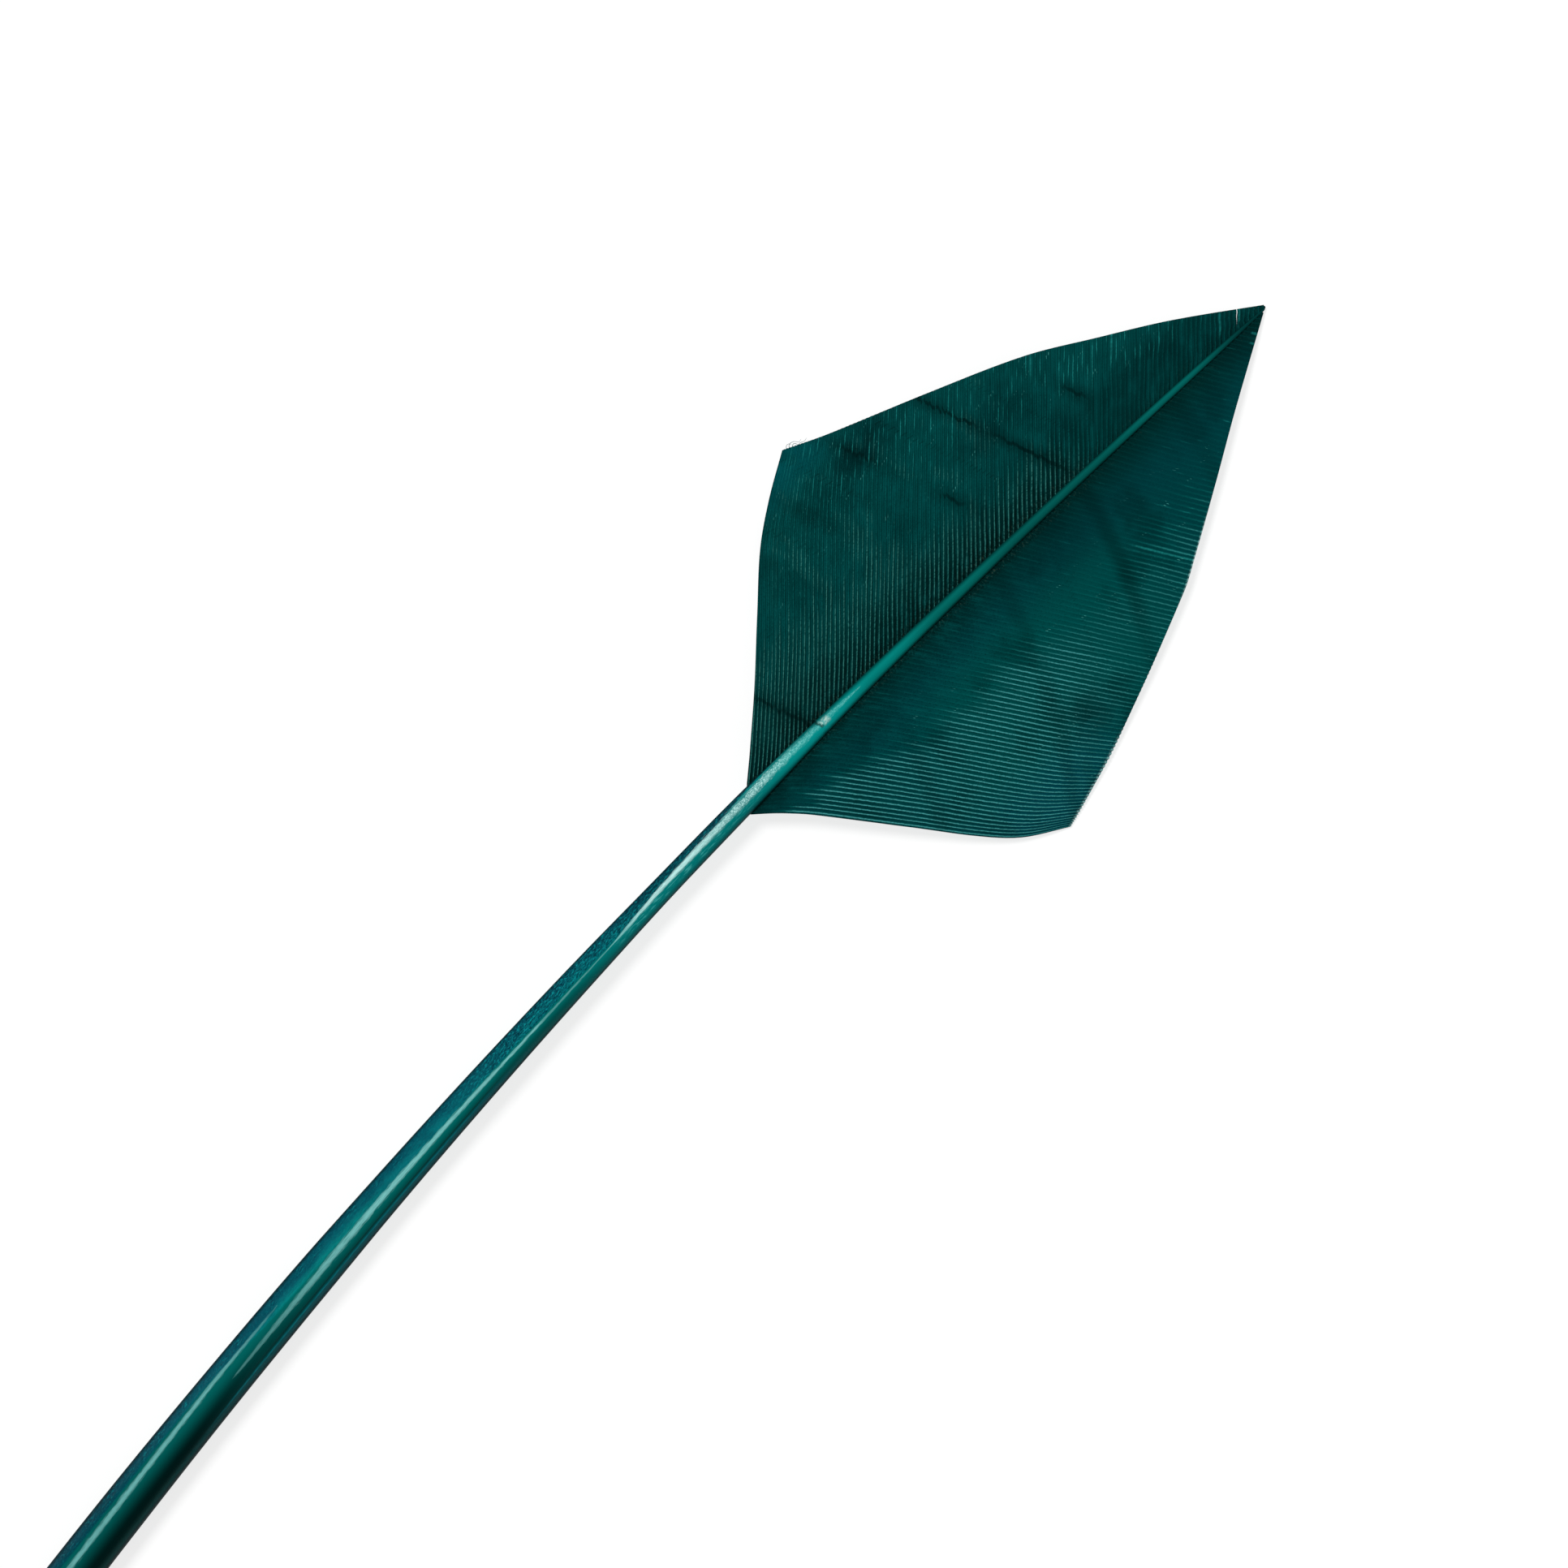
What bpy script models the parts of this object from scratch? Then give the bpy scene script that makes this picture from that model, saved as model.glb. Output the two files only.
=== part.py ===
"""A dyed turkey wing feather: its quill stripped bare, its vanes trimmed to an arrowhead.

It lies on a surface at Z = 0. +Y runs from the quill end to the tip, +X to the feather's
right, and the origin is under the middle of its bounding box. It has three pieces: the
shaft, which is quill and rachis grown as one, and the two vanes, each one thin web of barbs
hooked together. Places along the feather are measured from the foot of the vanes, towards
the tip, and places across it from a straight line through the foot and the tip.
"""
import math

import bmesh
import bpy
from mathutils import Vector

# Lengths in metres
HEAD = 0.0877             # foot of the vanes to the tip
STEM = 0.190              # foot of the vanes to the quill end
GAP = 0.0003              # left between a vane and the shaft
VANE_THICKNESS = 0.0005
SHAFT_TIP = HEAD - 0.0005

# Width of the shaft: (place along the feather, width)
SHAFT_WIDTHS = (
    (-STEM, 0.0022), (-0.186, 0.0036), (-0.178, 0.0053), (-0.168, 0.0062), (-0.140, 0.0062),
    (-0.118, 0.0060), (-0.100, 0.0056), (-0.078, 0.0051), (-0.068, 0.0047), (-0.052, 0.0042),
    (-0.028, 0.00345), (-0.016, 0.0030), (0.0, 0.0027), (0.013, 0.0020), (0.040, 0.00145),
    (0.072, 0.00095), (0.082, 0.0007), (SHAFT_TIP, 0.0003),
)
# Depth of the shaft over its width: round at the quill, deeper than wide at the tip
DEPTH_RATIOS = ((-STEM, 1.0), (-0.140, 1.0), (0.0, 1.05), (HEAD, 1.2))

# The sideways bow of the shaft: a parabola about its turning point, flatter towards the tip
BOW_TURN, BOW_OFFSET = 0.032, -0.0006
BOW_BELOW, BOW_ABOVE = 0.460, 0.30   # per metre

# How it lies: the quill rests on the surface, the stem lifts off it in a low arch
QUILL_FULL, LIFT_OFF = -0.168, -0.140
ARCH, TIP_LIFT = 0.0024, 0.0004

# Where the vanes were stripped off, the stem is left with a flat down each side
STRIPPED_FROM, STRIPPED_TO, STRIPPED_FADE = -0.150, -0.002, 0.020
FLATS = ((142.0, 0.80), (31.0, 0.96))  # (direction in degrees from +X, distance over radius)

# Each vane's trimmed edge, from its corner to the tip: (place along, place across)
LEFT_CUT = (
    (0.0326, -0.0283), (0.0380, -0.0258), (0.0500, -0.0210), (0.0620, -0.0159),
    (0.0700, -0.0113), (0.0780, -0.0066), (HEAD, -0.0001),
)
RIGHT_CUT = (
    (0.0260, 0.0297), (0.0360, 0.0266), (0.0560, 0.0185), (0.0600, 0.0163),
    (0.0680, 0.0116), (0.0760, 0.0068), (HEAD, 0.0002),
)
# Each vane's lowest barb, which is its lower edge: (share of the way out, across, along)
LEFT_LOWEST = (
    (0.0, -0.0017, 0.0010), (0.1, -0.0043, 0.0040), (0.3, -0.0098, 0.0101), (0.5, -0.0157, 0.0162),
    (0.7, -0.0214, 0.0222), (0.85, -0.0251, 0.0273), (1.0, -0.0283, 0.0326),
)
RIGHT_LOWEST = (
    (0.0, 0.0014, -0.0012), (0.05, 0.0026, 0.0002), (0.1, 0.0039, 0.0016), (0.2, 0.0068, 0.0043),
    (0.5, 0.0161, 0.0118), (0.7, 0.0224, 0.0168), (0.85, 0.0265, 0.0208), (1.0, 0.0297, 0.0260),
)
LOWEST_REACH = 0.35       # how far up the vane the lowest barb's own curve still tells
# Each vane, with the angles between barb and rachis in degrees at its foot and at the tip
LEFT_VANE = {"side": -1, "cut": LEFT_CUT, "lowest": LEFT_LOWEST,
             "root_angles": (45.0, 46.0), "end_angles": (35.0, 46.0)}
RIGHT_VANE = {"side": 1, "cut": RIGHT_CUT, "lowest": RIGHT_LOWEST,
              "root_angles": (51.0, 58.0), "end_angles": (41.0, 58.0)}
LAST_BARB = 0.96          # how far up the rachis the vane is carried
VANE_ROOT_HEIGHT = 0.40   # where a vane leaves the rachis, over the rachis's depth
CREST_REACH = 0.016       # distance from the rachis at which a vane is back at root height

RING_SIDES = 24
RING_SPACING = 0.0045
BARB_ROWS, BARB_STEPS = 32, 10


def blend(low, high, share):
    return low + (high - low) * share


def ease(share):
    share = min(max(share, 0.0), 1.0)
    return share * share * (3 - 2 * share)


def smooth_curve(stations, at):
    """The value at one place on a smooth curve through (place, value) stations."""
    places = [place for place, _ in stations]
    values = [value for _, value in stations]
    at = min(max(at, places[0]), places[-1])
    last = len(stations) - 1
    i = max(k for k in range(last) if at >= places[k])

    def slope(k):
        before, after = max(k - 1, 0), min(k + 1, last)
        return (values[after] - values[before]) / (places[after] - places[before])

    step = places[i + 1] - places[i]
    t = (at - places[i]) / step
    rise = values[i + 1] - values[i]
    bend = t * (1 - t) * ((1 - t) * (slope(i) * step - rise) - t * (slope(i + 1) * step - rise))
    return values[i] + rise * t + bend


def shaft_width(along):
    return smooth_curve(SHAFT_WIDTHS, along)


def shaft_depth(along):
    return shaft_width(along) * smooth_curve(DEPTH_RATIOS, along)


def bow(along):
    """How far across the shaft's centre lies."""
    curve = BOW_BELOW if along < BOW_TURN else BOW_ABOVE
    return BOW_OFFSET + curve * (along - BOW_TURN) ** 2


def underside(along):
    """Height of the shaft's underside above the surface."""
    share = max((along - LIFT_OFF) / (HEAD - LIFT_OFF), 0.0)
    return ARCH * 27 / 4 * share ** 2 * (1 - share) + TIP_LIFT * share ** 2


def stripped(along):
    """1 where the shaft is stripped, 0 where it isn't, and smooth in between."""
    return ease((along - STRIPPED_FROM) / STRIPPED_FADE) * ease((STRIPPED_TO - along) / STRIPPED_FADE)


def shaft_ring(along):
    """The shaft's outline at one place: an oval, with a flat cut down each stripped side."""
    width, depth = shaft_width(along), shaft_depth(along)
    level = math.cos(math.pi / RING_SIDES) * shaft_depth(max(along, QUILL_FULL)) / 2
    centre = Vector((bow(along), along, underside(along) + level))
    points = []
    for k in range(RING_SIDES):
        turn = 2 * math.pi * (k + 0.5) / RING_SIDES - math.pi / 2
        point = Vector((math.cos(turn) * width / 2, 0.0, math.sin(turn) * depth / 2))
        for direction, distance in FLATS:
            out = Vector((math.cos(math.radians(direction)), 0.0, math.sin(math.radians(direction))))
            reach = point.dot(out) - distance * width / 2
            point -= out * max(reach, 0.0) * stripped(along)
        points.append(centre + point)
    return points


def build_shaft():
    """The quill and rachis: rings bridged from end to end, with the quill end rounded in."""
    bm = bmesh.new()
    count = round((SHAFT_TIP + STEM) / RING_SPACING)
    places = [-STEM, -STEM + 0.0010, -0.1865]
    places += [blend(-0.184, SHAFT_TIP, k / count) for k in range(count + 1)]
    rings = [[bm.verts.new(point) for point in shaft_ring(place)] for place in places]
    for low, high in zip(rings, rings[1:]):
        for k in range(RING_SIDES):
            after = (k + 1) % RING_SIDES
            bm.faces.new((low[k], low[after], high[after], high[k]))
    for ring, place, reach in ((rings[0], -STEM, -0.0006), (rings[-1], SHAFT_TIP, 0.0003)):
        middle = sum((v.co for v in ring), Vector()) / RING_SIDES
        pole = bm.verts.new(middle + Vector((0.0, reach, 0.0)))
        for k in range(RING_SIDES):
            bm.faces.new((ring[k], ring[(k + 1) % RING_SIDES], pole))
    return bm


def camber(cut, distance):
    """Height of a vane above its root: up to a low crest, then down to rest on its corner."""
    corner_along, corner_across = cut[0]
    corner_share = abs(corner_across - bow(corner_along)) / CREST_REACH
    fall = VANE_THICKNESS / 2 - root_height(corner_along)
    share = distance / CREST_REACH
    return fall * share * (1 - share) / (corner_share * (1 - corner_share))


def root_height(along):
    return underside(along) + VANE_ROOT_HEIGHT * shaft_depth(along)


def barb_place(vane, rank, share):
    """A barb's course seen from above: rank picks the barb, share runs out along it."""
    side, cut = vane["side"], vane["cut"]
    root_along = rank * HEAD
    root = Vector((bow(root_along) + side * (shaft_width(root_along) / 2 + GAP), root_along))
    end_along = blend(cut[0][0], HEAD, rank)
    end = Vector((smooth_curve(cut, end_along), end_along))
    third = (end - root).length / 3
    leave = math.radians(blend(*vane["root_angles"], rank))
    arrive = math.radians(blend(*vane["end_angles"], math.sqrt(rank)))
    first = root + third * Vector((side * math.sin(leave), math.cos(leave)))
    second = end - third * Vector((side * math.sin(arrive), math.cos(arrive)))
    rest = 1 - share
    return (root * rest ** 3 + first * 3 * rest ** 2 * share
            + second * 3 * rest * share ** 2 + end * share ** 3)


def barb_point(vane, rank, share):
    """A point on the vane's middle surface; the lowest barbs are drawn to the lowest one's curve."""
    lowest = Vector([smooth_curve([(row[0], row[k]) for row in vane["lowest"]], share) for k in (1, 2)])
    pull = (1 - min(rank / LOWEST_REACH, 1.0)) ** 2
    across, along = barb_place(vane, rank, share) + (lowest - barb_place(vane, 0.0, share)) * pull
    height = root_height(along) + camber(vane["cut"], abs(across - bow(along)))
    return Vector((across, along, height))


def build_vane(vane):
    """One vane: a thin curved plate between the rachis and its trimmed edge."""
    bm = bmesh.new()
    half = Vector((0.0, 0.0, VANE_THICKNESS / 2))
    layers = []
    for lift in (-half, half):
        layers.append([[
            bm.verts.new(barb_point(vane, LAST_BARB * row / BARB_ROWS, step / BARB_STEPS) + lift)
            for step in range(BARB_STEPS + 1)] for row in range(BARB_ROWS + 1)])
    bottom, top = layers
    for row in range(BARB_ROWS):
        for step in range(BARB_STEPS):
            for layer in layers:
                bm.faces.new((layer[row][step], layer[row][step + 1],
                              layer[row + 1][step + 1], layer[row + 1][step]))
    rim = [(row, 0) for row in range(BARB_ROWS)] + [(BARB_ROWS, step) for step in range(BARB_STEPS)]
    rim += [(row, BARB_STEPS) for row in range(BARB_ROWS, 0, -1)]
    rim += [(0, step) for step in range(BARB_STEPS, 0, -1)]
    for (row, step), (next_row, next_step) in zip(rim, rim[1:] + rim[:1]):
        bm.faces.new((bottom[row][step], bottom[next_row][next_step],
                      top[next_row][next_step], top[row][step]))
    return bm


def dyed(name, colour, roughness):
    material = bpy.data.materials.new(name)
    material.use_nodes = True
    shader = material.node_tree.nodes["Principled BSDF"]
    shader.inputs["Base Color"].default_value = (*colour, 1.0)
    shader.inputs["Roughness"].default_value = roughness
    return material


def add_piece(name, bm, material):
    bmesh.ops.recalc_face_normals(bm, faces=bm.faces)
    mesh = bpy.data.meshes.new(name)
    bm.to_mesh(mesh)
    bm.free()
    mesh.materials.append(material)
    mesh.shade_smooth()
    mesh.set_sharp_from_angle(angle=math.radians(40))
    piece = bpy.data.objects.new(name, mesh)
    bpy.context.scene.collection.objects.link(piece)
    return piece


def centre_on_origin(pieces):
    """Moves every piece so that their common box is centred over the origin."""
    points = [v.co for piece in pieces for v in piece.data.vertices]
    middle = Vector(((min(p.x for p in points) + max(p.x for p in points)) / 2,
                     (min(p.y for p in points) + max(p.y for p in points)) / 2, 0.0))
    for piece in pieces:
        piece.location = -middle


def build_feather():
    horn = dyed("dyed_quill", (0.004, 0.165, 0.150), 0.35)
    web = dyed("dyed_vane", (0.002, 0.045, 0.045), 0.60)
    centre_on_origin([
        add_piece("shaft", build_shaft(), horn),
        add_piece("left_vane", build_vane(LEFT_VANE), web),
        add_piece("right_vane", build_vane(RIGHT_VANE), web),
    ])


for old in list(bpy.data.objects):
    bpy.data.objects.remove(old)
build_feather()
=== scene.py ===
"""Looks for the dyed turkey wing feather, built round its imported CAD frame.

The shaft and the two vanes are each one joined mesh. A vane is made of its real barbs: every
barb is a closed strip, with its own shaft (the ramus) raised along the middle and a thin web
either side that meets the next barb's. Places along the feather are measured from the foot of
the vanes, towards the tip, and places across it from a straight line through foot and tip.
"""
import math

import bpy
import numpy as np
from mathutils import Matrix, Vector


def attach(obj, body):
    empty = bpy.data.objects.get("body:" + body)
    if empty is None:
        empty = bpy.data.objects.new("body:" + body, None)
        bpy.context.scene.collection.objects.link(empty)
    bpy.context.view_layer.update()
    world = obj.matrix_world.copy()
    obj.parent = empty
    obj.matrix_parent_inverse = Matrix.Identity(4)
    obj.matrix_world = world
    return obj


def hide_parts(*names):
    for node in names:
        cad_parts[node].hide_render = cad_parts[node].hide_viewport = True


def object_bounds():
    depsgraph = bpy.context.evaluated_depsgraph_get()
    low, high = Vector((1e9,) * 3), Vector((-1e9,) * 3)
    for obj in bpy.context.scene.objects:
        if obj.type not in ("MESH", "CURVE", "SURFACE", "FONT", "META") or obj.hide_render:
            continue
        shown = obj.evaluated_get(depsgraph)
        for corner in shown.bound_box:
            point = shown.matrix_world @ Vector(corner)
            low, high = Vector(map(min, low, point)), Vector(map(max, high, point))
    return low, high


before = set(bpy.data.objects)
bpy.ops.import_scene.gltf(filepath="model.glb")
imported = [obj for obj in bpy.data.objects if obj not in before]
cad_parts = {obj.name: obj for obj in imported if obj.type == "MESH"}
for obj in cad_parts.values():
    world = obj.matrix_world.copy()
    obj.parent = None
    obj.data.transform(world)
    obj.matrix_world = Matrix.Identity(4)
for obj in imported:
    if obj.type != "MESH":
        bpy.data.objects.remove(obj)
CAD_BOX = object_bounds()
BODY = "root"

# ---------------------------------------- the CAD's own dimensions
HEAD, STEM = 0.0877, 0.190
SHAFT_TIP = HEAD - 0.0005
SHAFT_WIDTHS = (
    (-STEM, 0.0022), (-0.186, 0.0036), (-0.178, 0.0053), (-0.168, 0.0062), (-0.140, 0.0062),
    (-0.118, 0.0060), (-0.100, 0.0056), (-0.078, 0.0051), (-0.068, 0.0047), (-0.052, 0.0042),
    (-0.028, 0.00345), (-0.016, 0.0030), (0.0, 0.0027), (0.013, 0.0020), (0.040, 0.00145),
    (0.072, 0.00095), (0.082, 0.0007), (SHAFT_TIP, 0.0003),
)
DEPTH_RATIOS = ((-STEM, 1.0), (-0.140, 1.0), (0.0, 1.05), (HEAD, 1.2))
BOW_TURN, BOW_OFFSET, BOW_BELOW, BOW_ABOVE = 0.032, -0.0006, 0.460, 0.30
QUILL_FULL, LIFT_OFF, ARCH, TIP_LIFT = -0.168, -0.140, 0.0024, 0.0004
VANE_ROOT_HEIGHT, CREST_REACH, VANE_HALF = 0.40, 0.016, 0.00025
CAD_RING_SIDES = 24
LEFT_CUT = (
    (0.0326, -0.0283), (0.0380, -0.0258), (0.0500, -0.0210), (0.0620, -0.0159),
    (0.0700, -0.0113), (0.0780, -0.0066), (HEAD, -0.0001),
)
RIGHT_CUT = (
    (0.0260, 0.0297), (0.0360, 0.0266), (0.0560, 0.0185), (0.0600, 0.0163),
    (0.0680, 0.0116), (0.0760, 0.0068), (HEAD, 0.0002),
)
# The lowest barb of each vane: (share of the way out along it, place across, place along)
LEFT_LOWEST = (
    (0.0, -0.0017, 0.0010), (0.1, -0.0043, 0.0040), (0.3, -0.0098, 0.0101), (0.5, -0.0157, 0.0162),
    (0.7, -0.0214, 0.0222), (0.85, -0.0251, 0.0273), (1.0, -0.0283, 0.0326),
)
RIGHT_LOWEST = (
    (0.0, 0.0014, -0.0012), (0.05, 0.0026, 0.0002), (0.1, 0.0039, 0.0016), (0.2, 0.0068, 0.0043),
    (0.5, 0.0161, 0.0118), (0.7, 0.0224, 0.0168), (0.85, 0.0265, 0.0208), (1.0, 0.0297, 0.0260),
)
LOWEST_REACH = 0.35       # how far up the vane the lowest barb's own curve still tells

# The frame's box gives where the foot of the vanes lies: the tip is its far end, and the
# left vane's corner its left side.
ORIGIN = np.array((CAD_BOX[0][0] - LEFT_CUT[0][1], CAD_BOX[1][1] - SHAFT_TIP - 0.0003, 0.0))


# ---------------------------------------- small tools
def ease(share):
    share = np.clip(share, 0.0, 1.0)
    return share * share * (3 - 2 * share)


def blend(low, high, share):
    return low + (high - low) * share


def hill(x, middle, reach):
    """1 at the middle, falling smoothly to 0 at reach either side."""
    return 1 - ease(np.abs(x - middle) / reach)


def stretch(x, start, end, fade_in, fade_out):
    """1 between start and end, fading in and out just inside them."""
    return ease((x - start) / fade_in) * ease((end - x) / fade_out)


def smooth_curve(stations, at, column=1):
    """Values at places along a smooth curve through stations, which start with their places."""
    places = np.array([station[0] for station in stations])
    values = np.array([station[column] for station in stations])
    at = np.clip(at, places[0], places[-1])
    last = len(places) - 1
    before, after = np.maximum(np.arange(last + 1) - 1, 0), np.minimum(np.arange(last + 1) + 1, last)
    slopes = (values[after] - values[before]) / (places[after] - places[before])
    i = np.clip(np.searchsorted(places, at, side="right") - 1, 0, last - 1)
    step = places[i + 1] - places[i]
    t = (at - places[i]) / step
    rise = values[i + 1] - values[i]
    bend = t * (1 - t) * ((1 - t) * (slopes[i] * step - rise) - t * (slopes[i + 1] * step - rise))
    return values[i] + rise * t + bend


def waves(count, low, high, seed):
    """A smooth random function of two coordinates, mostly within -1 to 1."""
    random = np.random.default_rng(seed)
    size = random.uniform(low, high, count)
    turn = random.uniform(0, 2 * math.pi, count)
    phase = random.uniform(0, 2 * math.pi, count)

    def value(x, y):
        total = np.zeros(np.broadcast(x, y).shape)
        for k in range(count):
            total += np.sin(size[k] * (x * math.cos(turn[k]) + y * math.sin(turn[k])) + phase[k])
        return total / math.sqrt(count)
    return value


def linear(red, green, blue):
    """A colour given as 0 to 255 values, for a shader."""
    parts = [channel / 255 for channel in (red, green, blue)]
    return (*(p / 12.92 if p <= 0.04045 else ((p + 0.055) / 1.055) ** 2.4 for p in parts), 1.0)


def tube_faces(rings, sides, start=0):
    """Faces of a tube of rings, each with the same number of points, capped at both ends."""
    faces = []
    for ring in range(rings - 1):
        low = start + ring * sides
        for k in range(sides):
            after = (k + 1) % sides
            faces.append((low + k, low + after, low + sides + after, low + sides + k))
    faces.append(tuple(start + k for k in reversed(range(sides))))
    faces.append(tuple(start + (rings - 1) * sides + k for k in range(sides)))
    return faces


class Joined:
    """Points, faces and the values its material reads, gathered into one mesh."""

    def __init__(self):
        self.points, self.faces, self.values, self.count = [], [], {}, 0

    def add(self, points, faces, values, flip=False):
        points = points.reshape(-1, 3)
        self.points.append(points)
        for face in faces:
            face = tuple(corner + self.count for corner in face)
            self.faces.append(face[::-1] if flip else face)
        for key, numbers in values.items():
            numbers = np.broadcast_to(np.asarray(numbers, dtype=np.float32).reshape(-1), (len(points),))
            self.values.setdefault(key, []).append(numbers)
        self.count += len(points)

    def build(self, name, sharp):
        mesh = bpy.data.meshes.new(name)
        mesh.from_pydata((np.concatenate(self.points) + ORIGIN).tolist(), [], self.faces)
        for key, numbers in self.values.items():
            layer = mesh.attributes.new(key, "FLOAT", "POINT")
            layer.data.foreach_set("value", np.concatenate(numbers))
        mesh.shade_smooth()
        mesh.set_sharp_from_angle(angle=math.radians(sharp))
        piece = bpy.data.objects.new(name, mesh)
        bpy.context.scene.collection.objects.link(piece)
        return piece


# ---------------------------------------- the feather's own form
def shaft_width(along):
    return smooth_curve(SHAFT_WIDTHS, along)


def shaft_depth(along):
    return shaft_width(along) * smooth_curve(DEPTH_RATIOS, along)


def bow(along):
    """How far across the shaft's centre lies."""
    return BOW_OFFSET + np.where(along < BOW_TURN, BOW_BELOW, BOW_ABOVE) * (along - BOW_TURN) ** 2


def underside(along):
    """Height of the shaft's underside above the surface."""
    share = np.maximum((along - LIFT_OFF) / (HEAD - LIFT_OFF), 0.0)
    return ARCH * 27 / 4 * share ** 2 * (1 - share) + TIP_LIFT * share ** 2


def root_height(along):
    return underside(along) + VANE_ROOT_HEIGHT * shaft_depth(along)


def camber(cut, distance):
    """Height of a vane above its root: up to a low crest, then down to rest on its corner."""
    corner_along, corner_across = cut[0]
    corner_share = abs(corner_across - float(bow(corner_along))) / CREST_REACH
    fall = VANE_HALF - float(root_height(corner_along))
    share = distance / CREST_REACH
    return fall * share * (1 - share) / (corner_share * (1 - corner_share))


# ---------------------------------------- the vanes
BARB_STEPS = 40           # stretches in a barb's mesh
ROOT_SUNK = 0.00005       # how deep a barb's root is sunk in the rachis
WEB = 0.00009             # half the thickness of the web between barbs
RAMUS_TOP, RAMUS_UNDER = 0.00022, 0.00007       # how far a barb's own shaft stands out of it
ROOT_HOLLOW, ROOT_HOLLOW_REACH = 0.00016, 0.0022          # how the web sinks beside the rachis
RIPPLE_HEIGHT, RIPPLE_TIGHTNESS = 0.00010, 220
KINK_SINK, KINK_REACH = 0.00022, 0.0011         # the left vane's crease, out from the kink
LEAST_HEIGHT = 0.00002    # of any point of a vane above the surface
# One barb's outline: (place across it, -1 and 1 being its seams, share of the ramus's height)
TOP = ((-1.0, 0.0), (-0.72, 0.03), (-0.48, 0.30), (-0.28, 0.78), (-0.10, 1.0), (0.10, 1.0),
       (0.28, 0.78), (0.48, 0.30), (0.72, 0.03), (1.0, 0.0))
UNDER = ((1.0, 0.0), (0.35, 0.05), (0.0, 1.0), (-0.35, 0.05), (-1.0, 0.0))
OUTLINE = np.array(TOP + UNDER)
IS_TOP = np.arange(len(OUTLINE)) < len(TOP)
CREST = 4                 # which point of the outline lies on the ramus

# Bars across the vanes, where the feather grew thinner: (where each meets the rachis, then how
# dark it is at distances from the rachis). They slant towards the foot as they go out.
KINK = 0.0121             # where the rachis is kinked, and the left vane with it
LEFT_BARS = (
    (KINK, ((0.0, 0.9), (0.010, 0.8), (0.020, 0.6))),
    (0.0285, ((0.0, 0.1), (0.010, 0.3), (0.016, 0.5), (0.024, 0.4))),
    (0.0368, ((0.0, 0.0), (0.012, 0.15), (0.020, 0.6), (0.026, 0.3))),
    (0.0466, ((0.0, 0.05), (0.006, 0.4), (0.009, 0.9), (0.012, 0.2), (0.016, 0.4), (0.021, 0.9),
              (0.025, 0.5))),
    (0.0566, ((0.0, 0.5), (0.004, 0.9), (0.012, 1.0), (0.020, 0.9))),
    (0.0663, ((0.0, 0.2), (0.005, 0.3), (0.008, 0.9), (0.011, 0.4), (0.016, 0.2))),
)
RIGHT_BARS = (
    (0.0215, ((0.0, 0.0), (0.006, 0.2), (0.014, 0.4), (0.024, 0.3))),
    (0.0410, ((0.0, 0.3), (0.006, 0.6), (0.012, 0.3), (0.022, 0.5))),
    (0.0560, ((0.0, 0.5), (0.006, 0.8), (0.014, 0.9), (0.020, 0.4))),
    (0.0720, ((0.0, 0.3), (0.008, 0.4))),
)

# Darker clouds in the vanes: (place along, distance out, its reach along and out, how dark)
LEFT_CLOUDS = ((0.0390, 0.0208, 0.0095, 0.0042, 0.85), (0.0500, 0.0110, 0.0050, 0.0045, 0.45),
               (0.0560, 0.0130, 0.0040, 0.0050, 0.40))
RIGHT_CLOUDS = ((0.0370, 0.0218, 0.0060, 0.0050, 0.60),
                (0.0490, 0.0050, 0.0130, 0.0055, 0.32))

# How the seams between barbs stray, how the vanes ripple, and how the barbs' shafts come and go
SEAM_WANDER, VANE_RIPPLE = waves(12, 0.5, 2.2, 3), waves(7, 0.5, 1.6, 4)
BARB_PATCHES = waves(9, 0.3, 1.3, 8)
BARB_SEED = 31


class Vane:
    """What differs between the two sides."""

    def __init__(self, side, cut, lowest, barbs, last, angles, wander, tooth, splits, streaks,
                 bars, bar_slant, bar_curve, clouds):
        self.side, self.cut, self.lowest = side, cut, lowest
        self.barbs = barbs          # how many there would be from the foot of the vane to the tip
        self.last = last            # how far up the barbs go
        self.angles = angles        # (place up the vane, barb's angle as it leaves, and overall)
        self.wander = wander        # of the seams between barbs
        self.tooth = tooth          # length of the points the cut leaves on the barbs
        self.splits = splits        # (which seam, share where it opens, share of a barb opened)
        self.streaks = streaks      # (which barb, from and to share, how much paler)
        self.bars, self.clouds = bars, clouds
        self.bar_slant, self.bar_curve = bar_slant, bar_curve
        self.ranks = np.linspace(0.0, 1.0, 240)
        self.ends = np.array([self.end(rank) for rank in self.ranks])

    def root(self, rank):
        foot = rank * HEAD
        return np.stack((bow(foot) + self.side * (shaft_width(foot) / 2 - ROOT_SUNK), foot))

    def end(self, rank):
        """How far along the feather a barb ends: where a straight line meets the cut."""
        across, along = self.root(rank)
        overall = math.radians(float(smooth_curve(self.angles, rank, 2)))
        places = np.linspace(max(self.cut[0][0], along), HEAD, 600)
        reach = self.side * (smooth_curve(self.cut, places) - across)
        past = reach * math.cos(overall) - (places - along) * math.sin(overall)
        return float(np.interp(0.0, -past, places))


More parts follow.
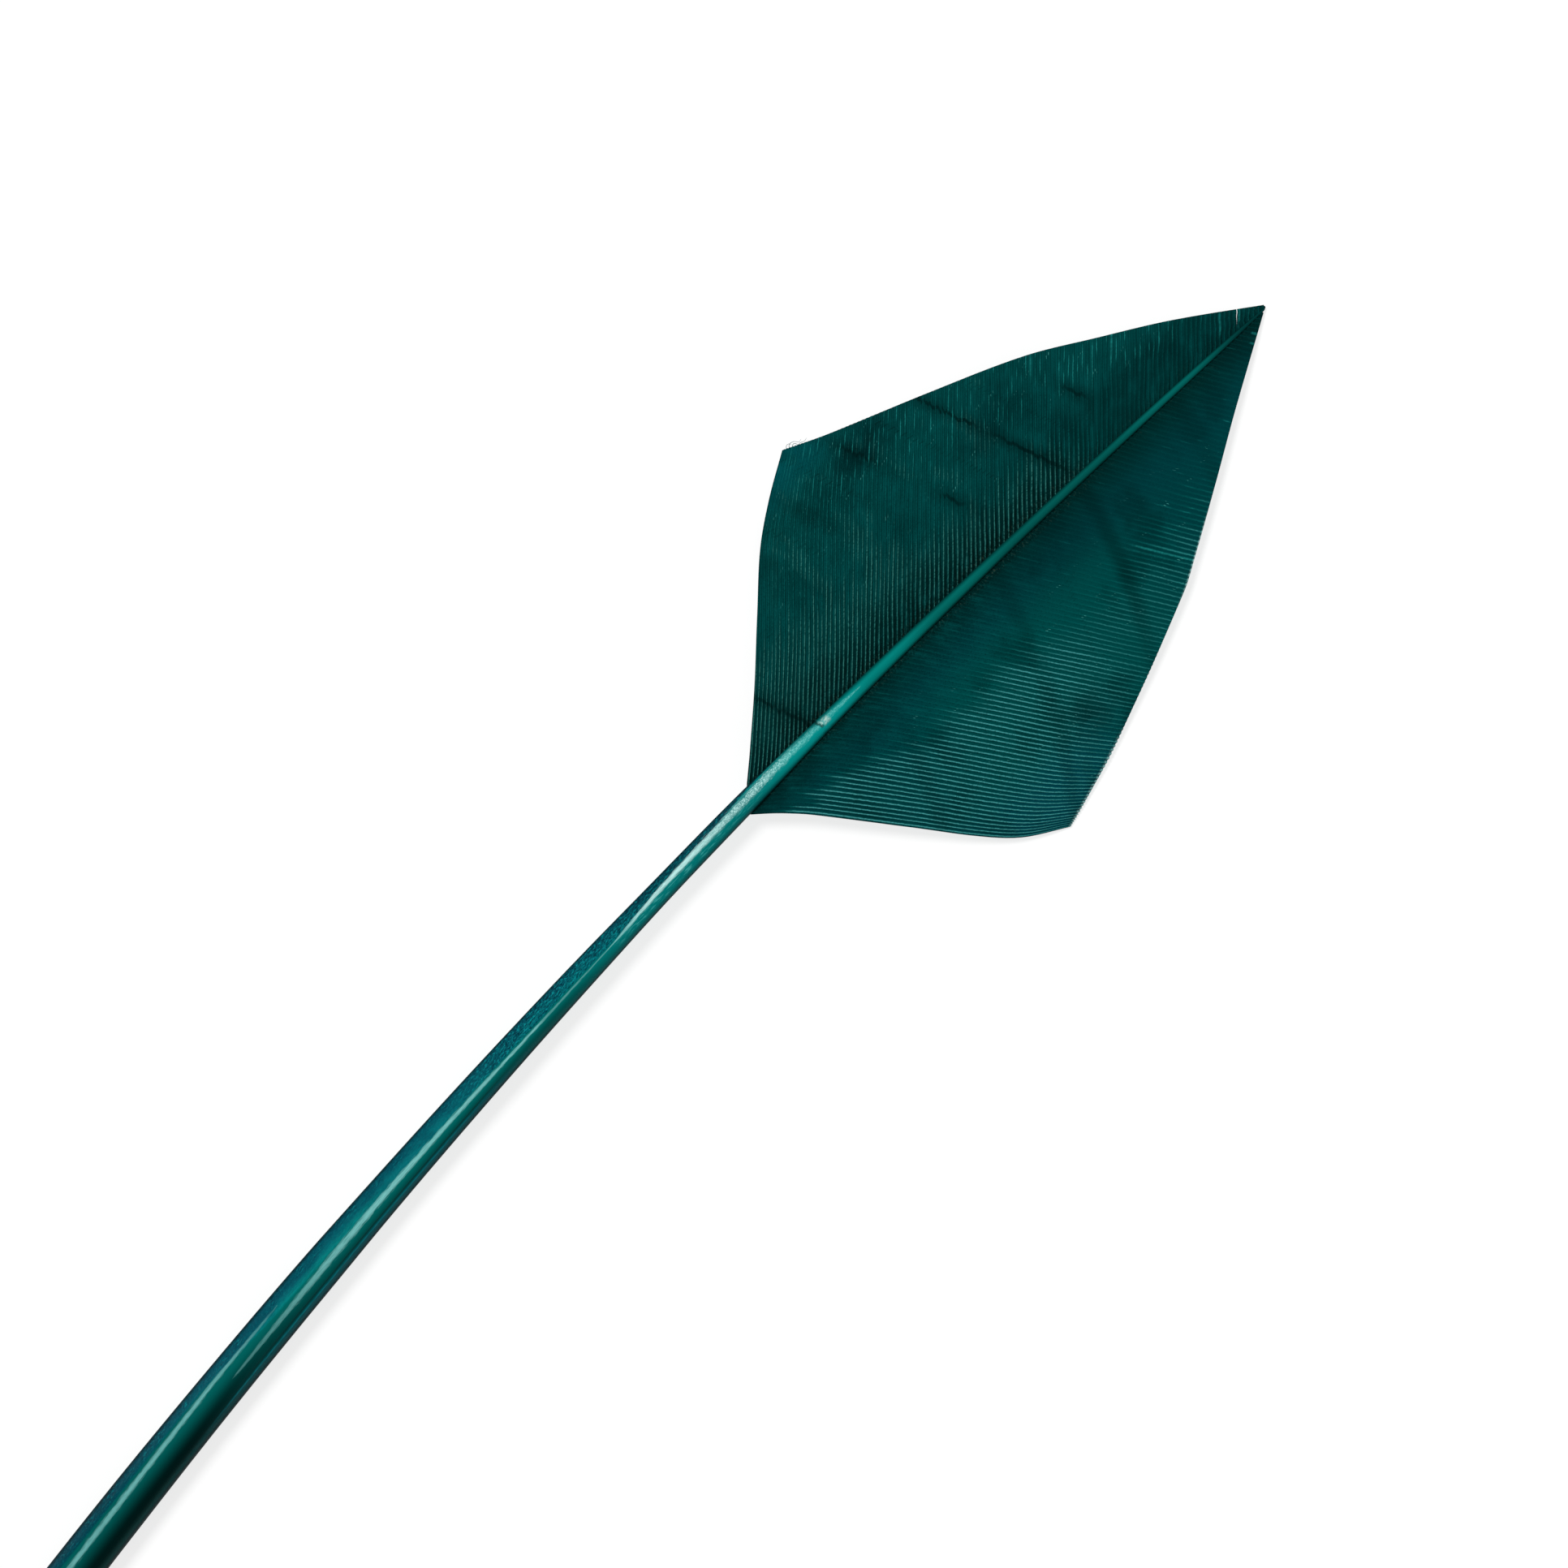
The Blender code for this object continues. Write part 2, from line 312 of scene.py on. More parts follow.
LEFT = Vane(
    side=-1, cut=LEFT_CUT, lowest=LEFT_LOWEST, barbs=112, last=1.0,
    angles=((0.0, 45.0, 40.2), (0.06, 45.5, 42.0), (0.16, 46.0, 44.0), (0.30, 46.0, 45.0),
            (0.50, 47.0, 46.5), (1.0, 47.0, 46.0)),
    wander=0.10, tooth=0.00003, splits=((0.943, 0.05, 0.17),),
    streaks=((0.943, 0.3, 1.1, 0.5), (0.907, 0.20, 1.1, 0.35), (0.708, 0.70, 1.1, 0.5),
             (0.55, 0.8, 1.1, 0.4)),
    bars=LEFT_BARS, bar_slant=0.375, bar_curve=0.0, clouds=LEFT_CLOUDS)
RIGHT = Vane(
    side=1, cut=RIGHT_CUT, lowest=RIGHT_LOWEST, barbs=118, last=0.992,
    angles=((0.0, 50.5, 46.1), (0.05, 51.5, 49.0), (0.16, 54.0, 53.0), (0.30, 56.5, 55.5),
            (0.50, 59.0, 58.0), (0.70, 60.5, 59.5), (1.0, 59.0, 58.0)),
    wander=0.07, tooth=0.00011, splits=(),
    streaks=((0.557, 0.55, 1.1, 0.60), (0.565, 0.66, 1.1, 0.30), (0.549, 0.50, 0.90, 0.25),
             (0.48, 0.93, 1.1, 0.3), (0.95, 0.5, 1.2, 0.5), (0.93, 0.7, 1.2, 0.4)),
    bars=RIGHT_BARS, bar_slant=0.1875, bar_curve=9.0, clouds=RIGHT_CLOUDS)


def barb_place(vane, rank, share):
    """(across, along) on a vane: rank picks the barb, 0 to 1, and share runs out along it.

    Below 0 the share runs back from the barb's root to the middle of the rachis.
    """
    root = vane.root(rank)
    end_along = np.interp(rank, vane.ranks, vane.ends)
    end = np.stack((smooth_curve(vane.cut, end_along), end_along))
    leave = np.radians(smooth_curve(vane.angles, rank, 1))
    arrive = 2 * np.radians(smooth_curve(vane.angles, rank, 2)) - leave
    third = np.hypot(*(end - root)) / 3
    outward = np.stack((vane.side * np.sin(leave), np.cos(leave)))
    first = root + third * outward
    second = end - third * np.stack((vane.side * np.sin(arrive), np.cos(arrive)))
    back = np.minimum(share, 0.0) * shaft_width(rank * HEAD) / 2
    share = np.maximum(share, 0.0)
    rest = 1 - share
    return (root * rest ** 3 + first * 3 * rest ** 2 * share
            + second * 3 * rest * share ** 2 + end * share ** 3 + back * outward)


def vane_points(vane, rank, share):
    """Points on a vane's middle surface."""
    rank = np.clip(rank, 0.0, 1.0)
    spot = barb_place(vane, rank, share)
    kept = np.maximum(share, 0.0)
    own = np.stack((smooth_curve(vane.lowest, kept, 1), smooth_curve(vane.lowest, kept, 2)))
    plain = barb_place(vane, np.zeros_like(rank), kept)
    across, along = spot + (own - plain) * (1 - np.clip(rank / LOWEST_REACH, 0, 1)) ** 2
    distance = np.abs(across - bow(along))
    height = root_height(along) + camber(vane.cut, distance)
    ripple = VANE_RIPPLE(along * RIPPLE_TIGHTNESS, across * RIPPLE_TIGHTNESS)
    ripple = RIPPLE_HEIGHT * ripple * ease(distance / 0.006)
    height = height + ripple * ease((height - VANE_HALF) / 0.0004)
    if vane.side < 0:
        kink = hill(along + vane.bar_slant * distance, KINK, KINK_REACH) * ease(distance / 0.001)
        height = height - KINK_SINK * kink * ease((height - 0.0006) / 0.0006)
    return np.stack((across, along, height), axis=-1)


def ramus_show(vane, distance, along, jitter):
    """How plainly a barb's own shaft stands out of the web, from 0 to a little over 1.

    On the left it is plain by the rachis and fades outwards and towards the tip. On the right it
    is plain towards the cut, and dims towards the tip and a little out at the corner.
    """
    if vane.side < 0:
        high = ease((along - 0.050) / 0.014)
        start = blend(0.0080, 0.0028, ease((along - 0.016) / 0.034)) + 0.0016 * jitter
        show = blend(blend(1.0, 0.28, high), blend(0.38, 0.24, high), ease((distance - start) / 0.0055))
    else:
        high = ease((along - 0.002) / 0.026)
        start = blend(0.0040, 0.0078, high) + 0.0011 * jitter
        show = blend(0.08 + 0.12 * high, 1.0, ease((distance - start) / blend(0.0028, 0.0085, high)))
        show = show * blend(1.0, 0.50, ease((along - 0.029) / 0.018))
        show = show * blend(1.0, 0.75, ease((distance - 0.022) / 0.004))
    return np.clip(show * (1 + 0.25 * BARB_PATCHES(along * 300, distance * 150)), 0.04, 1.2)


def nearest_bar(vane, along, distance):
    """Distance from the nearest bar, and how dark the bar is there."""
    line = along + vane.bar_slant * distance + vane.bar_curve * distance ** 2
    away = np.stack([line - place for place, _ in vane.bars])
    strength = np.stack([smooth_curve(shades, distance) for _, shades in vane.bars])
    nearest = np.argmin(np.abs(away), axis=0)[None]
    return [np.take_along_axis(each, nearest, axis=0)[0] for each in (away, strength)]


def cloudiness(vane, along, distance):
    """How deep in the vane's darker clouds a place is."""
    return sum(shade * hill(along, middle, long_reach) * hill(distance, out, wide_reach)
               for middle, out, long_reach, wide_reach, shade in vane.clouds)


def paleness(vane, number, shares):
    """How much paler than the rest a barb is along its length."""
    return sum((strength * stretch(shares, start, end, 0.15, 0.10)
                for at, start, end, strength in vane.streaks if number == round(at * vane.barbs)),
               np.zeros_like(shares))


def split_open(vane, number, place, share):
    """Places across a barb, drawn in from its seam where the vane is split there."""
    for at, start, width in vane.splits:
        gap = round(at * vane.barbs)
        kept = 1 - width * ease((share - start) / (1 - start))
        if number in (gap - 1, gap):
            beside_gap = place > 0 if number < gap else place < 0
            place = np.where(beside_gap, place * kept, place)
    return place


def tooth_length(vane, number):
    """Length of the point that the cut left on a barb: uneven, and none near the tip."""
    uneven = 1 + 0.7 * math.sin(number * 12.9)
    return vane.tooth * uneven * (1 - ease(number / vane.barbs / 0.55))


def barb(vane, number, tone, jitter):
    """One barb as a closed strip: its points, faces, and the values its material reads."""
    ends = barb_place(vane, np.full(2, (number + 0.5) / vane.barbs), np.array((0.0, 1.0)))
    length = float(np.hypot(*(ends[:, 1] - ends[:, 0])))
    share = np.concatenate(([-1.0], np.linspace(0.0, 1.0, BARB_STEPS + 1)))[:, None]
    place, lift = OUTLINE.T[:, None]
    place = split_open(vane, number, place * np.ones_like(share), share)
    settled = ease(share / 0.15)
    seams = [line + vane.wander * SEAM_WANDER(line * 1.7 + 40 * vane.side, share * 8) * settled
             for line in (number, number + 1)]
    ranks = blend(seams[0], seams[1], (place + 1) / 2) / vane.barbs
    shares = share * np.ones_like(ranks)
    points = vane_points(vane, ranks, shares)

    ahead = points[-1, CREST] - points[-2, CREST]
    tip = tooth_length(vane, number) * (1 - np.abs(place[-1]) * 1.2)
    points[-1] += (ahead / np.linalg.norm(ahead))[None, :] * tip[:, None]

    along = points[..., 1]
    distance = np.abs(points[..., 0] - bow(along))
    show = ramus_show(vane, distance, along, jitter)
    stout = 1.0 - 0.5 * ease(shares)
    ramus = lift * stout * (0.22 + 0.78 * np.minimum(show, 1.0))
    hollow = ROOT_HOLLOW * (1 - ease(distance / ROOT_HOLLOW_REACH)) * (1 - lift)
    thickness = np.where(IS_TOP, WEB + RAMUS_TOP * ramus - hollow * 0.5,
                         -WEB * 0.9 - RAMUS_UNDER * ramus)
    points[..., 2] = np.maximum(points[..., 2] + thickness, LEAST_HEIGHT)

    bar, bar_shade = nearest_bar(vane, along, distance)
    values = {
        "cross": place, "lane": np.full_like(ranks, number), "run": np.maximum(shares, 0) * length,
        "show": show * tone, "distance": distance, "along": along, "pale": paleness(vane, number, shares),
        "bar": bar, "bar_shade": bar_shade, "rim": np.maximum(shares, 0),
        "cloud": cloudiness(vane, along, distance),
    }
    return points, tube_faces(BARB_STEPS + 2, len(OUTLINE)), values


# Loose curled barbules at the left vane's corner: (along, across) points of each
WISPS = (
    ((0.0333, -0.0277), (0.0337, -0.0282), (0.0343, -0.0281), (0.0348, -0.0276), (0.0352, -0.0277)),
    ((0.0337, -0.0276), (0.0341, -0.0279), (0.0344, -0.0275), (0.0341, -0.0271), (0.0338, -0.0274)),
    ((0.0330, -0.0279), (0.0333, -0.0283), (0.0337, -0.0283), (0.0339, -0.0280)),
    ((0.0342, -0.0271), (0.0347, -0.0274), (0.0353, -0.0272), (0.0358, -0.0273)),
)
WISP_RADIUS = 0.000035
WISP_SIDES, WISP_RINGS = 6, 24
WISP_START, WISP_RISE = 0.00030, 0.00035        # height of its ends, and of its arch above them


def add_wisps(joined):
    for number, stations in enumerate(WISPS):
        steps = np.linspace(0, len(stations) - 1, WISP_RINGS)
        alongs = smooth_curve([(k, along) for k, (along, _) in enumerate(stations)], steps)
        acrosses = smooth_curve([(k, across) for k, (_, across) in enumerate(stations)], steps)
        arch = np.sin(steps / steps[-1] * math.pi) * (1 + number % 2)
        heights = WISP_START + WISP_RISE * arch
        path = np.stack((acrosses, alongs, heights), axis=-1)
        ahead = np.gradient(path, axis=0)
        ahead /= np.linalg.norm(ahead, axis=1, keepdims=True)
        out = np.cross(ahead, (0.0, 0.0, 1.0))
        out /= np.linalg.norm(out, axis=1, keepdims=True)
        up = np.cross(out, ahead)
        turn = np.arange(WISP_SIDES) / WISP_SIDES * 2 * math.pi
        radius = WISP_RADIUS * (1 - 0.6 * steps / steps[-1])[:, None, None]
        points = path[:, None] + radius * (
            out[:, None] * np.cos(turn)[None, :, None] + up[:, None] * np.sin(turn)[None, :, None])
        values = {"cross": 0.9, "lane": number, "run": 0.0, "show": 0.3, "distance": 0.027,
                  "along": 0.034, "pale": 0.0, "bar": 0.01, "bar_shade": 0.0, "rim": 0.5, "cloud": 0.0}
        joined.add(points, tube_faces(WISP_RINGS, WISP_SIDES), values, flip=True)


def build_vane(name, vane):
    """All of a vane's barbs as one mesh."""
    joined = Joined()
    random = np.random.default_rng(BARB_SEED + vane.side)
    tones, jitters = random.uniform(0.80, 1.15, vane.barbs), random.uniform(-1, 1, vane.barbs)
    for number in range(round(vane.last * vane.barbs)):
        joined.add(*barb(vane, number, tones[number], jitters[number]), flip=vane.side > 0)
    if vane.side < 0:
        add_wisps(joined)
    return joined.build(name, sharp=75)


# ---------------------------------------- the shaft
RING_SIDES, RING_STEP = 72, 0.00040
# The flat left where the left vane was stripped off: (place along, the way it faces in degrees
# from +X, its distance from the middle over the radius, the place across where its colour ends)
LEFT_FLAT = (
    (-STEM, 160.0, 1.03, -1.05), (-0.150, 158.0, 0.98, -0.74), (-0.122, 155.0, 0.91, -0.51),
    (-0.098, 151.0, 0.88, -0.53), (-0.086, 142.0, 0.79, -0.24), (-0.070, 139.0, 0.75, -0.13),
    (-0.050, 139.0, 0.74, -0.08), (-0.030, 138.0, 0.74, 0.00), (-0.018, 139.0, 0.76, -0.02),
    (-0.008, 142.0, 0.83, -0.30), (0.002, 144.0, 0.97, -0.85), (0.015, 144.0, 1.03, -1.10),
)
# The right-hand one faces one way all along: (place along, distance from the middle)
RIGHT_FLAT_TURN = 31.0
RIGHT_FLAT = (
    (-STEM, 1.03), (-0.110, 0.99), (-0.095, 0.962), (-0.045, 0.955), (-0.025, 0.99), (0.0, 1.03),
)
SHARPNESS = 36.0          # of the edges between the flats
LEFT_ROUGH, RIGHT_ROUGH = 0.014, 0.008          # relief of the torn fibres, over the radius
FIBRE_TIGHTNESS = 5200    # per metre of the shaft
# A groove above the right-hand flat, with a painted highlight along its lip: each one's turn and reach in
# degrees
GROOVE_TURN, GROOVE_REACH, GROOVE_DEPTH = 51.0, 6.5, 0.055
LIP_TURN, LIP_REACH = 42.5, 4.0
DENT_DEPTH, DENT_REACH, DENT_SLANT = 0.05, 0.0005, 0.0003         # of the dent at the kink

# The pale band along the top, part real scuffing and part painted highlight, in two stretches that overlap
# where it steps over:
# (place along, its middle from -1 left to 1 right, half its width)
LOWER_BAND = (
    (-STEM, -0.18, 0.02), (-0.150, -0.21, 0.085), (-0.120, -0.25, 0.105), (-0.104, -0.35, 0.095),
    (-0.096, -0.42, 0.08), (-0.089, -0.43, 0.06), (-0.084, -0.44, 0.03),
)
UPPER_BAND = (
    (-0.096, 0.14, 0.0), (-0.0925, 0.13, 0.055), (-0.089, 0.12, 0.08), (-0.082, 0.09, 0.12),
    (-0.074, 0.05, 0.15), (-0.064, 0.02, 0.14), (-0.052, 0.06, 0.11), (-0.040, 0.14, 0.08),
    (-0.031, 0.16, 0.06), (-0.0265, 0.14, 0.045), (-0.0240, 0.12, 0.05), (-0.0225, 0.09, 0.09),
    (-0.019, -0.02, 0.13), (-0.015, -0.13, 0.17), (-0.009, -0.18, 0.24), (-0.005, -0.20, 0.27),
    (0.000, -0.23, 0.31), (0.004, -0.32, 0.36), (0.009, -0.38, 0.40), (0.0145, -0.32, 0.32),
    (0.0175, -0.20, 0.15), (0.0200, -0.15, 0.0),
)
SHAFT_GRAIN = waves(14, 0.6, 2.4, 12)
# Rings that close each end: (size over the end ring's, how far along from it)
QUILL_PIT = ((0.05, 0.0016), (0.30, 0.0012), (0.50, -0.0003), (0.80, -0.0005))
RACHIS_POINT = ((0.7, 0.0002), (0.1, 0.0003))


def flat(turn, direction, cut):
    """Distance from the middle to a flat, along each turn; far off where it faces away."""
    cosine = np.cos(turn - np.radians(direction))
    return np.where(cosine > 0.05, cut / np.maximum(cosine, 0.05), 20.0)


def band(stations, along, across):
    """How far from a band's middle, 1 being its edge; it pinches out where it starts and ends."""
    middle, half = smooth_curve(stations, along, 1), smooth_curve(stations, along, 2)
    away = np.abs(across - middle) / np.maximum(half, 0.02) + 2 * ease((0.05 - half) / 0.05)
    inside = (along >= stations[0][0]) & (along <= stations[-1][0])
    return np.where(inside, np.minimum(away, 4.0), 4.0)


def scaled_ring(ring, scale, shift):
    middle = ring.mean(axis=0)
    return middle + (ring - middle) * scale + (0, shift, 0)


def shaft_section(along, turn):
    """Radius of the shaft over that of a plain oval, and where its marks lie."""
    left = flat(turn, smooth_curve(LEFT_FLAT, along, 1), smooth_curve(LEFT_FLAT, along, 2))
    right = flat(turn, RIGHT_FLAT_TURN, smooth_curve(RIGHT_FLAT, along))
    radius = (1 + left ** -SHARPNESS + right ** -SHARPNESS) ** (-1 / SHARPNESS)
    across = radius * np.cos(turn)
    top = ease(np.sin(turn) / 0.2 + 0.5)
    on_left, on_right = ease((1.02 - left) / 0.05) * top, ease((1.01 - right) / 0.03) * top
    slant = along * FIBRE_TIGHTNESS + np.cos(turn) * 5
    rough = LEFT_ROUGH * SHAFT_GRAIN(slant, turn * 9) * on_left
    rough += RIGHT_ROUGH * SHAFT_GRAIN(slant + 40, turn * 11) * on_right
    degrees = np.degrees(turn)
    groove = hill(degrees, GROOVE_TURN, GROOVE_REACH) * stretch(along, -0.104, -0.040, 0.020, 0.012)
    lip_highlight = hill(degrees, LIP_TURN, LIP_REACH) * stretch(along, -0.102, -0.046, 0.010, 0.010)
    dent = hill(along, KINK + DENT_SLANT * np.cos(turn), DENT_REACH) * top
    marks = {
        "cross": across, "along": along, "top": top, "groove": groove, "lip_highlight": lip_highlight,
        "lower_band": band(LOWER_BAND, along, across), "upper_band": band(UPPER_BAND, along, across),
        "left_flat": across - smooth_curve(LEFT_FLAT, along, 3), "right_flat": on_right,
        "half_width": shaft_width(along) / 2,
    }
    return radius + rough - GROOVE_DEPTH * groove - DENT_DEPTH * dent, marks


def build_shaft(name):
    """Quill and rachis: many rings, with flats, ragged where stripped, and a pit in the end."""
    count = round((SHAFT_TIP + STEM) / RING_STEP) + 1
    along = np.linspace(-STEM, SHAFT_TIP, count)[:, None]
    turn = (2 * math.pi * (np.arange(RING_SIDES) + 0.5) / RING_SIDES - math.pi / 2)[None, :]
    radius, marks = shaft_section(along, turn)
    width, depth = shaft_width(along), shaft_depth(along)
    level = math.cos(math.pi / CAD_RING_SIDES) * shaft_depth(np.maximum(along, QUILL_FULL)) / 2
    x = bow(along) + radius * np.cos(turn) * width / 2
    z = underside(along) + level + radius * np.sin(turn) * depth / 2
    rings = np.stack((x, along + 0 * x, np.maximum(z, 0.0)), axis=-1)

    # The end of the quill turns in to a small pit, and the rachis ends in a blunt point.
    pit = [scaled_ring(rings[0], *step) for step in QUILL_PIT]
    point = [scaled_ring(rings[-1], *step) for step in RACHIS_POINT]
    rings = np.concatenate((pit, rings, point))

    def padded(numbers):
        """Values for all the rings, the end ones repeated for the pit and the point."""
        numbers = numbers + 0 * x
        return np.concatenate((numbers[:1].repeat(len(pit), axis=0), numbers,
                               numbers[-1:].repeat(len(point), axis=0)))

    values = {key: padded(numbers) for key, numbers in marks.items()}
    joined = Joined()
    joined.add(rings, tube_faces(len(rings), RING_SIDES), values, flip=True)
    return joined.build(name, sharp=60)


# ---------------------------------------- materials
class Nodes:
    """Short ways to add shader nodes to one material."""

    def __init__(self, name):
        self.material = bpy.data.materials.new(name)
        self.material.use_nodes = True
        self.tree = self.material.node_tree
        self.shader = self.tree.nodes["Principled BSDF"]

    def add(self, kind, **settings):
        node = self.tree.nodes.new(kind)
        for key, value in settings.items():
            setattr(node, key, value)
        return node

    def put(self, socket, value):
        if isinstance(value, bpy.types.NodeSocket):
            self.tree.links.new(value, socket)
        else:
            socket.default_value = value

    def put_all(self, node, values):
        for name, value in values.items():
            self.put(node.inputs[name], value)

    def fed(self, node, *values):
        """A node's first output, with its inputs set in their order."""
        for socket, value in zip(node.inputs, values):
            self.put(socket, value)
        return node.outputs[0]

    def value(self, name):
        """A value that the mesh carries at each of its points."""
        return self.add("ShaderNodeAttribute", attribute_name=name).outputs["Fac"]

    def maths(self, operation, a, b=0.0):
        return self.fed(self.add("ShaderNodeMath", operation=operation), a, b)

    def plus(self, a, b):
        return self.maths("ADD", a, b)

    def absolute(self, value):
        return self.maths("ABSOLUTE", value)

    def greater(self, a, b):
        return self.maths("MAXIMUM", a, b)

    def times(self, *parts):
        product = parts[0]
        for part in parts[1:]:
            product = self.maths("MULTIPLY", product, part)
        return product

    def scaled(self, value, scale, shift=0.0):
        return self.plus(self.times(value, scale), shift)

    def ramp(self, value, low, high, to_low=0.0, to_high=1.0):
        """A smooth step from one value to another as the input goes from low to high."""
        node = self.add("ShaderNodeMapRange", interpolation_type="SMOOTHSTEP")
        return self.fed(node, value, low, high, to_low, to_high)

    def about(self, value, middle, outer, inner, to_outer=0.0, to_inner=1.0):
        """A smooth step as the input comes from outer to inner distance of the middle."""
        return self.ramp(self.absolute(self.scaled(value, 1.0, -middle)), outer, inner, to_outer, to_inner)

    def mix(self, share, a, b):
        node = self.add("ShaderNodeMix", data_type="RGBA", clamp_factor=True)
        self.put(node.inputs[0], share)
        self.put(node.inputs[6], a)
        self.put(node.inputs[7], b)
        return node.outputs[2]

    def over(self, colour, dye, *shares):
        """A colour with a dye, of 0 to 255 values, laid over it as far as the shares' product."""
        return self.mix(self.times(*shares), colour, linear(*dye))

    def noise(self, x, y, detail=2.0, rough=0.5):
        """Noise over two coordinates, each a value or (value, scale) or (value, scale, shift)."""
        parts = [self.scaled(*part) if isinstance(part, tuple) else part for part in (x, y)]
        where = self.fed(self.add("ShaderNodeCombineXYZ"), *parts)
        node = self.add("ShaderNodeTexNoise")
        self.put_all(node, {"Vector": where, "Scale": 1.0, "Detail": detail, "Roughness": rough})
        return node.outputs["Fac"]

    def bump(self, height, distance, strength):
        node = self.add("ShaderNodeBump")
        self.put_all(node, {"Height": height, "Distance": distance, "Strength": strength})
        self.put(self.shader.inputs["Normal"], node.outputs[0])

    def finish(self, colour, roughness, specular, tint):
        self.put_all(self.shader, {"Base Color": colour, "Roughness": roughness,
                                   "Specular IOR Level": specular, "Specular Tint": tint})
        return self.material


# In the layers below, ramps over along and distance are in metres, as the CAD's dimensions are:
# they say where on the feather a layer comes in. Ramps over cross run from -1 to 1 across a
# barb or the shaft, and ramps over noise, which lies about 0.5, say how much of it shows.
class VaneNodes(Nodes):
    """The values that a vane's mesh carries, and the noises that its layers share."""

    def __init__(self, name, side):
        super().__init__(name)
        self.left = side < 0
        self.cross, self.lane, self.run = self.value("cross"), self.value("lane"), self.value("run")
        self.distance, self.along = self.value("distance"), self.value("along")
        self.rim, self.bar_shade = self.value("rim"), self.value("bar_shade")
        self.beads = self.noise((self.run, 4200), (self.lane, 2.7, 9.0), 3.0, 0.6)
        self.streaks = self.noise((self.run, 300), (self.lane, 1.1), 3.0)
        self.patches = self.noise((self.along, 130), (self.distance, 130), 3.0)
        self.ragged = self.noise((self.lane, 3.1), (self.cross, 0.4), 2.0)
        chevrons = self.maths("SUBTRACT", self.scaled(self.run, 7500),
                              self.scaled(self.absolute(self.cross), 2.2))
        self.barbules = self.noise(
            chevrons, self.plus(self.scaled(self.lane, 5.0), self.scaled(self.cross, 1.1)), 2.0, 0.6)
        wobble = self.noise((self.run, 1900), (self.lane, 5.3, 3.0), 1.0)
        self.off_centre = self.absolute(self.plus(self.cross, self.scaled(wobble, 0.36, -0.18)))


def left_web(n):
    """The web between the left barbs' shafts: painted shade darkest by the rachis, bluer at the corner."""
    # Painted shade by the rachis, fading outwards and towards the tip
    out_of_rachis_shade = n.greater(n.ramp(n.distance, 0.0010, 0.0090), n.ramp(n.along, 0.046, 0.064, 0.0, 0.6))
    web = n.mix(out_of_rachis_shade, linear(0, 14, 14), linear(1, 52, 52))
    web = n.over(web, (2, 74, 74), n.ramp(n.streaks, 0.42, 0.75), 0.45)
    web = n.over(web, (0, 28, 30), n.ramp(n.patches, 0.50, 0.34, 0.0, 0.50))
    web = n.over(web, (0, 76, 84), n.ramp(n.distance, 0.021, 0.027), n.ramp(n.along, 0.041, 0.033),
                 n.ramp(n.patches, 0.36, 0.56, 0.3, 0.8))
    seams = n.ramp(n.absolute(n.cross), 0.70, 1.0)
    return n.over(web, (4, 86, 84), seams, n.ramp(n.distance, 0.004, 0.009), 0.55,
                  n.ramp(n.streaks, 0.30, 0.60))


def right_web(n):
    """The web between the right barbs' shafts: a painted shadow of the rachis beside it, greener in the
    middle, bluer at the corner.
    """
    # Painted shadow of the rachis, darkest beside it
    web = n.mix(n.ramp(n.distance, 0.0004, 0.0065), linear(0, 33, 32), linear(0, 52, 56))
    web = n.over(web, (0, 66, 65), n.ramp(n.distance, 0.004, 0.010), n.ramp(n.along, 0.014, 0.030),
                 n.ramp(n.along, 0.064, 0.046, 0.15, 1.0))
    web = n.over(web, (0, 58, 78), n.ramp(n.distance, 0.019, 0.027), n.ramp(n.along, 0.045, 0.030), 0.6)
    web = n.over(web, (2, 74, 74), n.ramp(n.streaks, 0.42, 0.75), n.ramp(n.along, 0.034, 0.050, 0.45, 0.12))
    return n.over(web, (0, 28, 30), n.ramp(n.patches, 0.50, 0.34, 0.0, 0.50))


def barb_shafts_and_crest_highlights(n, web):
    """Each barb's shaft: a soft wide tone, then a thin beaded line that comes and goes, partly the shaft's
    own paler colour and partly a painted highlight on its crest.
    """
    show = n.value("show")
    if n.left:
        lit = n.noise((n.along, 230), (n.distance, 120, 5.0), 3.0, 0.6)
        show = n.plus(show, n.times(n.ramp(lit, 0.50, 0.66), n.ramp(n.distance, 0.006, 0.012), 0.34))
        wide, line = (2, 60, 58), n.mix(n.ramp(show, 0.42, 0.95), linear(4, 86, 84), linear(54, 120, 113))
        half_width, faintest = 0.30, 0.12
    else:
        wide, line = (2, 80, 79), n.mix(n.ramp(show, 0.25, 0.95), linear(0, 92, 88), linear(70, 154, 154))
        half_width, faintest = 0.37, 0.55
    colour = n.over(web, wide, n.ramp(n.off_centre, 0.85, 0.25), show, 0.65)
    # The thin line: partly the shaft's paler colour, partly a painted highlight on its crest
    thin = n.times(n.ramp(n.off_centre, half_width, 0.07), n.ramp(show, 0.0, 0.75),
                   n.ramp(n.beads, 0.32, 0.60, faintest, 1.0))
    return n.mix(thin, colour, line)


def clouds(n, colour):
    """Broad darker clouds, where the mesh says they lie."""
    mottle = n.noise((n.along, 420), (n.distance, 420), 3.0, 0.6)
    return n.over(colour, (0, 26, 28), n.value("cloud"), n.ramp(mottle, 0.62, 0.44, 0.55, 1.0))


def barbule_fuzz(n, colour):
    """The fine slanting grain of the barbules, plainer towards the foot of the vane."""
    fuzz = n.ramp(n.along, 0.030, 0.055, 1.0, 0.4)
    colour = n.over(colour, (0, 24, 24), n.ramp(n.barbules, 0.52, 0.28, 0.0, 0.5), fuzz)
    return n.over(colour, (24, 106, 102), n.ramp(n.barbules, 0.54, 0.78, 0.0, 0.22), fuzz)


